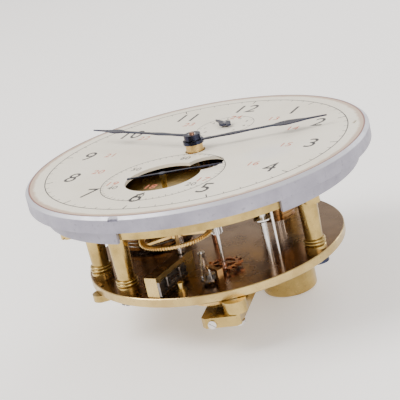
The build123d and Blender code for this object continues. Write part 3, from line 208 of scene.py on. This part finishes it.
def two_sided_brass(name, node, side_tones, shaded_top_tones):
    """Worn brass with one pair of tones on the sides and a second pair, for painted shade, on the upper face.
    """
    material, tree, shader = empty_material(name)
    shader.inputs["Metallic"].default_value = 1.0
    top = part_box(node)[1][2]
    place = tree.nodes.new("ShaderNodeSeparateXYZ")
    tree.links.new(tree.nodes.new("ShaderNodeTexCoord").outputs["Object"], place.inputs["Vector"])
    # Mask of the upper face, which takes the painted-shade tones.
    shaded_top_mask = remap(tree, place.outputs["Z"], top - 0.06 * MM, top - 0.02 * MM)
    wear_and_shade_nodes = [wear_node(tree, *tones, PLATE_WEAR, PLATE_GRAIN) for tones in (side_tones, shaded_top_tones)]
    tree.links.new(blend(tree, shaded_top_mask, wear_and_shade_nodes[0].outputs["Color"], wear_and_shade_nodes[1].outputs["Color"]),
                   shader.inputs["Base Color"])
    rough = tree.nodes.new("ShaderNodeMix")
    tree.links.new(shaded_top_mask, rough.inputs[0])
    tree.links.new(wear_and_shade_nodes[0].outputs["Roughness"], rough.inputs[2])
    tree.links.new(wear_and_shade_nodes[1].outputs["Roughness"], rough.inputs[3])
    tree.links.new(rough.outputs[0], shader.inputs["Roughness"])
    tree.links.new(wear_and_shade_nodes[0].outputs["Normal"], shader.inputs["Normal"])
    return material


# The block's upper face is painted dark brown as painted shade under the front plate.
paint(two_sided_brass("block_brass", "detent_block", ((0.66, 0.49, 0.20), (0.40, 0.28, 0.10), 0.22, 0.34),
                      ((0.16, 0.10, 0.06), (0.07, 0.045, 0.03), 0.22, 0.38)), "detent_block")

# ---------------------------------------------------------------- back plate
# The back plate is polished brass. Its upper face, which looks in between the plates, is painted dark
# brown as painted shade. Its edge and outer face are handled, so they stay a light golden brass.
# The upper face is painted dark brown as painted shade between the plates.
paint(two_sided_brass("back_plate_brass", "back_plate", ((0.58, 0.43, 0.18), (0.32, 0.21, 0.075), 0.22, 0.34),
                      ((0.23, 0.125, 0.048), (0.11, 0.058, 0.022), 0.18, 0.32)), "back_plate")

# ---------------------------------------------------------------- steel
# Arbors, pinions, springs and levers are hardened steel, ground and polished bright. The centre
# arbor is let down to a red straw; the chain, mainspring and block spring are almost black.
BRIGHT_STEEL = worn_metal("bright_steel", (0.72, 0.70, 0.69), (0.34, 0.31, 0.29), 0.14, 0.30, 0.45, 0.2)
DARK_STEEL = worn_metal("dark_steel", (0.34, 0.31, 0.29), (0.06, 0.05, 0.045), 0.16, 0.40, 0.85, 0.5)
paint(BRIGHT_STEEL, "stop_post", "stop_arbor", "third_arbor", "seconds_arbor",
      "escape_arbor", "fusee_arbor", "reserve_driver", "barrel_arbor", "cannon_pinion", "work_studs",
      "reserve_arbor", "balance_staff", "detent_stud", "detent_lever", "bridge_screws",
      "setup_ratchet", "setup_click", "click_stud")
STRAW_STEEL = worn_metal("straw_steel", (0.52, 0.27, 0.17), (0.28, 0.15, 0.10), 0.18, 0.32, 0.6, 0.2)
paint(STRAW_STEEL, "centre_arbor")
paint(DARK_STEEL, "mainspring", "fusee_chain", "side_spring", "spring_screws", "impulse_roller")

# ---------------------------------------------------------------- blued steel
# Hands, balance spring and pillar screws are steel heated to a dark blue, nearly black, with a
# purple cast where the colour ran.
BLUED_STEEL = worn_metal("blued_steel", (0.035, 0.045, 0.085), (0.05, 0.035, 0.05), 0.18, 0.34, 0.7, 0.15)
paint(BLUED_STEEL, "pillar_screws", "hour_hand", "minute_hand", "seconds_hand", "reserve_hand",
      "balance_spring")

# ---------------------------------------------------------------- dial paint
# The dial is a brass plate under cream enamel paint. Its margin outside the minute track is worn
# to a tan, with a red-brown line at the very edge, and the face has faint stains.
DIAL_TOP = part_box("dial_plate")[1][2]
DIAL_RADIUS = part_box("dial_plate")[1][0]
TRACK_RADIUS = 48.5 * MM
MARGIN_RADIUS = 52.0 * MM


def make_dial_material():
    material, tree, shader = empty_material("dial_enamel")
    shader.inputs["Coat Weight"].default_value = 0.15
    shader.inputs["Coat Roughness"].default_value = 0.3
    coords = tree.nodes.new("ShaderNodeTexCoord").outputs["Object"]
    place = tree.nodes.new("ShaderNodeSeparateXYZ")
    tree.links.new(coords, place.inputs["Vector"])
    square = math_node(tree, "ADD", math_node(tree, "MULTIPLY", place.outputs["X"], place.outputs["X"]),
                       math_node(tree, "MULTIPLY", place.outputs["Y"], place.outputs["Y"]))
    radius = math_node(tree, "SQRT", square)
    wander = remap(tree, noise(tree, coords, 260.0), 0.0, 1.0, -0.9 * MM, 0.9 * MM)
    ragged = math_node(tree, "ADD", radius, wander)
    cream = blend(tree, remap(tree, noise(tree, coords, 34.0, 5.0), 0.35, 0.75), (0.82, 0.765, 0.65, 1),
                  (0.72, 0.655, 0.53, 1))
    specks = remap(tree, noise(tree, coords, 900.0, 3.0), 0.66, 0.74, 0.0, 0.35)
    cream = blend(tree, specks, cream, (0.45, 0.36, 0.26, 1))
    smudge_place = tree.nodes.new("ShaderNodeMapping")
    smudge_place.inputs["Location"].default_value = (-28 * MM, 6 * MM, -DIAL_TOP)
    tree.links.new(coords, smudge_place.inputs["Vector"])
    reach = tree.nodes.new("ShaderNodeVectorMath")
    reach.operation = "LENGTH"
    tree.links.new(smudge_place.outputs["Vector"], reach.inputs[0])
    smudge = remap(tree, reach.outputs["Value"], 9 * MM, 3 * MM, 0.0, 0.28)
    cream = blend(tree, smudge, cream, (0.56, 0.56, 0.66, 1))
    margin = remap(tree, ragged, MARGIN_RADIUS - 0.4 * MM, MARGIN_RADIUS + 0.5 * MM, 0.0, 0.88)
    tanned = blend(tree, margin, cream, (0.46, 0.32, 0.225, 1))
    line = remap(tree, radius, DIAL_RADIUS - 0.6 * MM, DIAL_RADIUS - 0.3 * MM, 0.0, 0.92)
    tree.links.new(blend(tree, line, tanned, (0.20, 0.06, 0.05, 1)), shader.inputs["Base Color"])
    tree.links.new(remap(tree, noise(tree, coords, 90.0), 0.3, 0.7, 0.36, 0.52), shader.inputs["Roughness"])
    bump = tree.nodes.new("ShaderNodeBump")
    bump.inputs["Strength"].default_value = 0.12
    bump.inputs["Distance"].default_value = 0.03 * MM
    tree.links.new(noise(tree, coords, 1500.0), bump.inputs["Height"])
    tree.links.new(bump.outputs["Normal"], shader.inputs["Normal"])
    return material


paint(make_dial_material(), "dial_plate")

# ---------------------------------------------------------------- dial ring
# The ring is nickelled brass gone a matt lavender grey, coloured lighter on its bevel and lip at the top.


def make_ring_material():
    material, tree, shader = empty_material("ring_metal")
    shader.inputs["Metallic"].default_value = 0.55
    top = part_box("dial_ring")[1][2]
    coords = tree.nodes.new("ShaderNodeTexCoord").outputs["Object"]
    place = tree.nodes.new("ShaderNodeSeparateXYZ")
    tree.links.new(coords, place.inputs["Vector"])
    wall = blend(tree, remap(tree, noise(tree, coords, 120.0, 6.0), 0.3, 0.7), (0.37, 0.36, 0.43, 1),
                 (0.27, 0.26, 0.32, 1))
    pits = remap(tree, noise(tree, coords, 900.0, 4.0), 0.60, 0.70, 0.0, 0.5)
    wall = blend(tree, pits, wall, (0.19, 0.18, 0.21, 1))
    lip = remap(tree, place.outputs["Z"], top - 1.0 * MM, top - 0.7 * MM, 0.0, 0.8)
    tree.links.new(blend(tree, lip, wall, (0.62, 0.62, 0.67, 1)), shader.inputs["Base Color"])
    tree.links.new(remap(tree, noise(tree, coords, 200.0), 0.3, 0.7, 0.38, 0.58), shader.inputs["Roughness"])
    bump = tree.nodes.new("ShaderNodeBump")
    bump.inputs["Strength"].default_value = 0.25
    bump.inputs["Distance"].default_value = 0.03 * MM
    tree.links.new(noise(tree, coords, 2200.0), bump.inputs["Height"])
    tree.links.new(bump.outputs["Normal"], shader.inputs["Normal"])
    return material


paint(make_ring_material(), "dial_ring")

# ---------------------------------------------------------------- printed tracks and ticks
# Black lines are printed on the dial: the minute circle with ticks inside it, the seconds circle
# with its ticks, and the small circle of the reserve dial. They are thin raised paint.
SECONDS_AXIS = Vector((0.0, -22.8 * MM))
RESERVE_AXIS = Vector((0.0, 22.8 * MM))
PRINT_HEIGHT = 0.02 * MM
PRINT_FLOOR = DIAL_TOP + 0.005 * MM
SECONDS_RADIUS = 19.3 * MM
RESERVE_RADIUS = 9.6 * MM
FINE_LINE = 0.16 * MM
WINDOW_AXIS = Vector((9.5 * MM, -12.6 * MM))
WINDOW_CLEARANCE = 6.4 * MM


def painted(name, colour, roughness):
    material, tree, shader = empty_material(name)
    coords = tree.nodes.new("ShaderNodeTexCoord").outputs["Object"]
    thin = remap(tree, noise(tree, coords, 1100.0, 3.0), 0.50, 0.74, 0.0, 0.14)
    tree.links.new(blend(tree, thin, (*colour, 1), (0.55, 0.50, 0.44, 1)), shader.inputs["Base Color"])
    shader.inputs["Roughness"].default_value = roughness
    return material


BLACK_PRINT = painted("black_print", (0.010, 0.009, 0.010), 0.35)
RED_PRINT = painted("red_print", (0.55, 0.12, 0.05), 0.4)


def pick_none():
    bpy.ops.object.select_all(action="DESELECT")


def bake_place(piece):
    """Moves the piece's place, turn and size into its mesh."""
    pick_none()
    piece.select_set(True)
    bpy.context.view_layer.objects.active = piece
    bpy.ops.object.transform_apply(location=True, rotation=True, scale=True)


def join_pieces(pieces, name):
    pick_none()
    for piece in pieces:
        piece.select_set(True)
    bpy.context.view_layer.objects.active = pieces[0]
    if len(pieces) > 1:
        bpy.ops.object.join()
    joined = bpy.context.view_layer.objects.active
    joined.name = name
    bake_place(joined)
    return joined


def printed_circle(centre, radius, width):
    """A flat ring of paint: a circle of edges, widened and then raised."""
    pick_none()
    bpy.ops.mesh.primitive_circle_add(vertices=180, radius=radius - width / 2, fill_type="NOTHING",
                                      location=(centre.x, centre.y, PRINT_FLOOR))
    ring = bpy.context.object
    bpy.ops.object.mode_set(mode="EDIT")
    bpy.ops.mesh.select_all(action="SELECT")
    bpy.ops.mesh.extrude_edges_move()
    grow = (radius + width / 2) / (radius - width / 2)
    bpy.ops.transform.resize(value=(grow, grow, 1), center_override=(centre.x, centre.y, PRINT_FLOOR))
    bpy.ops.mesh.select_all(action="SELECT")
    bpy.ops.mesh.extrude_region_move(TRANSFORM_OT_translate={"value": (0, 0, PRINT_HEIGHT)})
    bpy.ops.mesh.select_all(action="SELECT")
    bpy.ops.mesh.normals_make_consistent(inside=False)
    bpy.ops.object.mode_set(mode="OBJECT")
    return ring


def printed_tick(centre, radius, angle, length, width):
    """A short line of paint that points at the centre."""
    pick_none()
    spot = (centre.x + radius * cos(angle), centre.y + radius * sin(angle), PRINT_FLOOR + PRINT_HEIGHT / 2)
    bpy.ops.mesh.primitive_cube_add(size=1, location=spot, rotation=(0, 0, angle),
                                    scale=(length, width, PRINT_HEIGHT))
    return bpy.context.object


def finish(piece, material, body):
    piece.data.materials.clear()
    piece.data.materials.append(material)
    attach(piece, body)


MIDDLE = Vector((0, 0))
black_lines = [printed_circle(MIDDLE, TRACK_RADIUS, 0.32 * MM)]
black_lines.append(printed_circle(SECONDS_AXIS, SECONDS_RADIUS, 0.25 * MM))
black_lines.append(printed_circle(RESERVE_AXIS, RESERVE_RADIUS, FINE_LINE))
for minute in range(60):
    turn = radians(6 * minute)
    on_the_hour = minute % 5 == 0
    reach = 2.6 * MM if on_the_hour else 1.3 * MM
    thick = 0.34 * MM if on_the_hour else 0.20 * MM
    black_lines.append(printed_tick(MIDDLE, TRACK_RADIUS - reach / 2, turn, reach, thick))
    long_mark = minute % 10 == 0
    sub_reach = 1.6 * MM if long_mark else 1.0 * MM
    tick_foot = SECONDS_AXIS + SECONDS_RADIUS * Vector((cos(turn), sin(turn)))
    if (tick_foot - WINDOW_AXIS).length > WINDOW_CLEARANCE:
        middle = SECONDS_RADIUS - sub_reach / 2
        black_lines.append(printed_tick(SECONDS_AXIS, middle, turn, sub_reach, FINE_LINE))
RESERVE_DAYS = 8
RESERVE_SWEEP = 270
for mark in range(RESERVE_DAYS):
    turn = radians(90 - RESERVE_SWEEP / 2 + RESERVE_SWEEP * mark / (RESERVE_DAYS - 1))
    black_lines.append(printed_tick(RESERVE_AXIS, 9.0 * MM, turn, 1.2 * MM, FINE_LINE))
finish(join_pieces(black_lines, "dial_tracks"), BLACK_PRINT, "root")

# ---------------------------------------------------------------- numerals
# Black hours stand inside the minute track and red 24-hour figures inside them. The seconds dial
# has figures for every ten seconds, and the reserve dial has its days. All stand upright.


def numeral(text, centre, radius, angle, height, stretch):
    """Upright figures, made as text, turned into a mesh and raised as paint."""
    pick_none()
    spot = (centre.x + radius * cos(angle), centre.y + radius * sin(angle), PRINT_FLOOR + PRINT_HEIGHT / 2)
    bpy.ops.object.text_add(location=spot)
    figure = bpy.context.object
    figure.data.body = text
    figure.data.size = height
    figure.data.align_x = "CENTER"
    figure.data.align_y = "CENTER"
    figure.data.extrude = PRINT_HEIGHT / 2
    figure.scale = (stretch, 1, 1)
    bpy.ops.object.convert(target="MESH")
    return bpy.context.object


def figures(labels, centre, radius, first_angle, step, height, stretch, name, material):
    pieces = []
    for count, label in enumerate(labels):
        turn = radians(first_angle - step * count)
        pieces.append(numeral(label, centre, radius, turn, height, stretch))
    finish(join_pieces(pieces, name), material, "root")


figures([str(hour) for hour in range(1, 13)], MIDDLE, 39.8 * MM, 60, 30, 10.5 * MM, 0.86,
        "hour_numerals", BLACK_PRINT)
figures([str(hour) for hour in range(13, 25)], MIDDLE, 31.3 * MM, 60, 30, 4.6 * MM, 0.95,
        "red_numerals", RED_PRINT)
figures(["60", "10", "20", "30", "40", "50"], SECONDS_AXIS, 15.6 * MM, 90, 60, 3.6 * MM, 0.95,
        "seconds_numerals", BLACK_PRINT)
figures([str(day) for day in range(RESERVE_DAYS)], RESERVE_AXIS, 7.2 * MM, 90 + RESERVE_SWEEP / 2,
        RESERVE_SWEEP / (RESERVE_DAYS - 1), 2.0 * MM, 0.95, "reserve_numerals", BLACK_PRINT)

# ---------------------------------------------------------------- chain wraps
# Turns of the fusee chain lie side by side on the lower part of the barrel, below the run that
# crosses to the fusee. Each turn is a plain round band of dark steel.
DRUM_LOW, DRUM_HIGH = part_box("barrel_drum")
DRUM_MIDDLE = (Vector(DRUM_LOW) + Vector(DRUM_HIGH)) / 2
DRUM_RADIUS = (DRUM_HIGH[0] - DRUM_LOW[0]) / 2
WRAP_PITCH = 1.3 * MM
WRAP_RADIUS = 0.36 * MM
WRAP_STANDOFF = 0.05 * MM
wraps = []
wrap_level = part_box("fusee_chain")[0][2] - 0.9 * MM
while wrap_level > DRUM_LOW[2] + 1.2 * MM:
    pick_none()
    bpy.ops.mesh.primitive_torus_add(major_segments=120, minor_segments=10,
                                     major_radius=DRUM_RADIUS + WRAP_STANDOFF, minor_radius=WRAP_RADIUS,
                                     location=(DRUM_MIDDLE.x, DRUM_MIDDLE.y, wrap_level))
    wraps.append(bpy.context.object)
    wrap_level -= WRAP_PITCH
chain_wraps = join_pieces(wraps, "chain_wraps")
pick_none()
chain_wraps.select_set(True)
bpy.context.view_layer.objects.active = chain_wraps
bpy.ops.object.shade_smooth()
finish(chain_wraps, DARK_STEEL, "barrel")

# ---------------------------------------------------------------- floor, light and camera
# A level, plain, pale table under one large soft key light, with a fill and a rim light.
LOWEST = bounds_at_load[0][2]


def make_floor():
    material, tree, shader = empty_material("floor_white")
    shader.inputs["Base Color"].default_value = (0.90, 0.875, 0.85, 1)
    shader.inputs["Roughness"].default_value = 0.6
    shader.inputs["Emission Color"].default_value = (1.0, 0.98, 0.96, 1)
    shader.inputs["Emission Strength"].default_value = 0.35
    pick_none()
    bpy.ops.mesh.primitive_plane_add(size=6.0, location=(0, 0, LOWEST))
    floor = bpy.context.object
    floor.name = "floor"
    floor.data.materials.append(material)


make_floor()


def area_light(name, spot, size, power, colour, target=(0, 0, 0.03)):
    pick_none()
    bpy.ops.object.light_add(type="AREA", location=spot)
    lamp = bpy.context.object
    lamp.name = name
    lamp.data.size = size
    lamp.data.energy = power
    lamp.data.color = colour
    lamp.rotation_euler = (Vector(target) - Vector(spot)).to_track_quat("-Z", "Y").to_euler()


area_light("key_light", (-0.45, -0.35, 0.75), 0.5, 10.5, (1.0, 0.98, 0.95))
area_light("fill_light", (0.75, -0.55, 0.35), 0.6, 4.8, (1.0, 0.97, 0.93))
area_light("rim_light", (0.1, 0.9, 0.6), 0.7, 5.8, (0.97, 0.98, 1.0))

world = bpy.data.worlds.new("studio")
world.use_nodes = True
world.node_tree.nodes["Background"].inputs["Color"].default_value = (0.96, 0.93, 0.90, 1)
world.node_tree.nodes["Background"].inputs["Strength"].default_value = 0.92
bpy.context.scene.world = world

# The camera looks down at the dial from the front right and is rolled, as if the movement leans.
CAMERA_TURN = radians(30.05)
CAMERA_RISE = radians(18.33)
CAMERA_ROLL = radians(-12.755)
CAMERA_REACH = 447.4 * MM
CAMERA_SIDE = 1.47 * MM
CAMERA_LIFT = -15.64 * MM
back = Vector((sin(CAMERA_TURN) * cos(CAMERA_RISE), -cos(CAMERA_TURN) * cos(CAMERA_RISE), sin(CAMERA_RISE)))
side = Vector((cos(CAMERA_TURN), sin(CAMERA_TURN), 0))
above = back.cross(side)
across = cos(CAMERA_ROLL) * side + sin(CAMERA_ROLL) * above
upward = cos(CAMERA_ROLL) * above - sin(CAMERA_ROLL) * side
camera_data = bpy.data.cameras.new("main_camera")
camera_data.lens = 128.05
camera_data.sensor_width = 36.0
camera = bpy.data.objects.new("main_camera", camera_data)
bpy.context.scene.collection.objects.link(camera)
placed = Matrix((across, upward, back)).transposed().to_4x4()
dial_centre = Vector((0, 0, DIAL_TOP))
placed.translation = dial_centre + back * CAMERA_REACH + across * CAMERA_SIDE + upward * CAMERA_LIFT
camera.matrix_world = placed
bpy.context.scene.camera = camera
